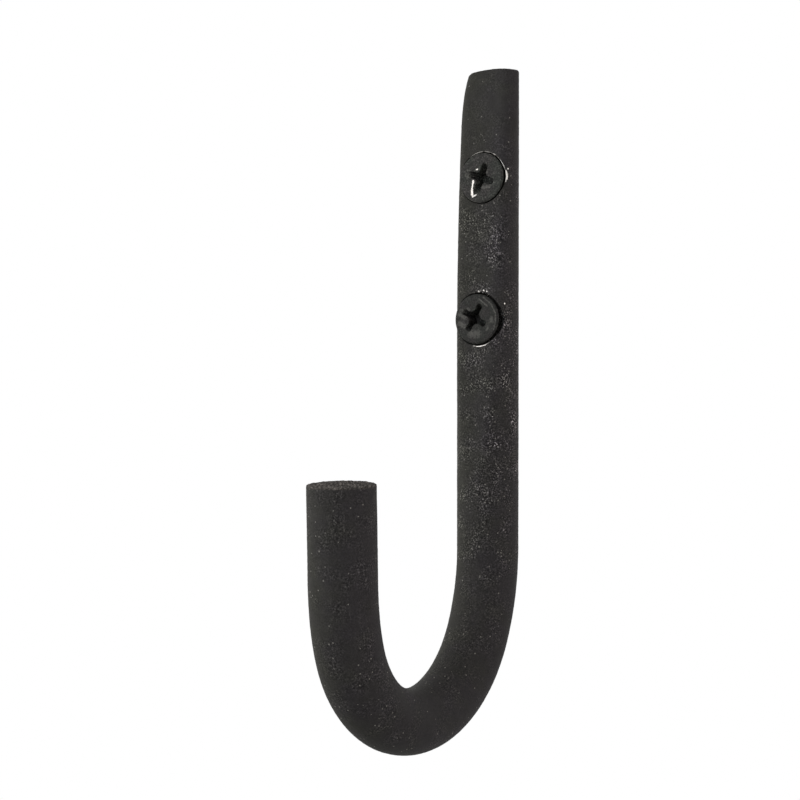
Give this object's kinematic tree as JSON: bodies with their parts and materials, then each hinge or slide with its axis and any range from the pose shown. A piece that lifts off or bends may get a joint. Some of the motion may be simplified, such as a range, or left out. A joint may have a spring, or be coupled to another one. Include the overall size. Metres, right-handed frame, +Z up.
{
  "type": "towel hook",
  "caption": "J-shaped wall hook bent from round black steel bar, its shank ground flat in front and held by countersunk screws.",
  "frame": {"origin": "on the seat, the flat on the back of the shank that lies on the wall, midway between the two screw holes", "axes": "+Z up along the shank, +Y into the wall, -Y towards the room and the arm, X across the bar"},
  "size_m": [0.01, 0.0729, 0.1064],
  "materials": {
    "coated_bar": "black powder coat with a fine sandy grain",
    "screw_black": "matt black phosphate on steel, worn bright in the recess"
  },
  "bodies": {
    "root": {"hook": "coated_bar", "screw_upper": "screw_black", "screw_lower": "screw_black"}
  },
  "joints": []
}
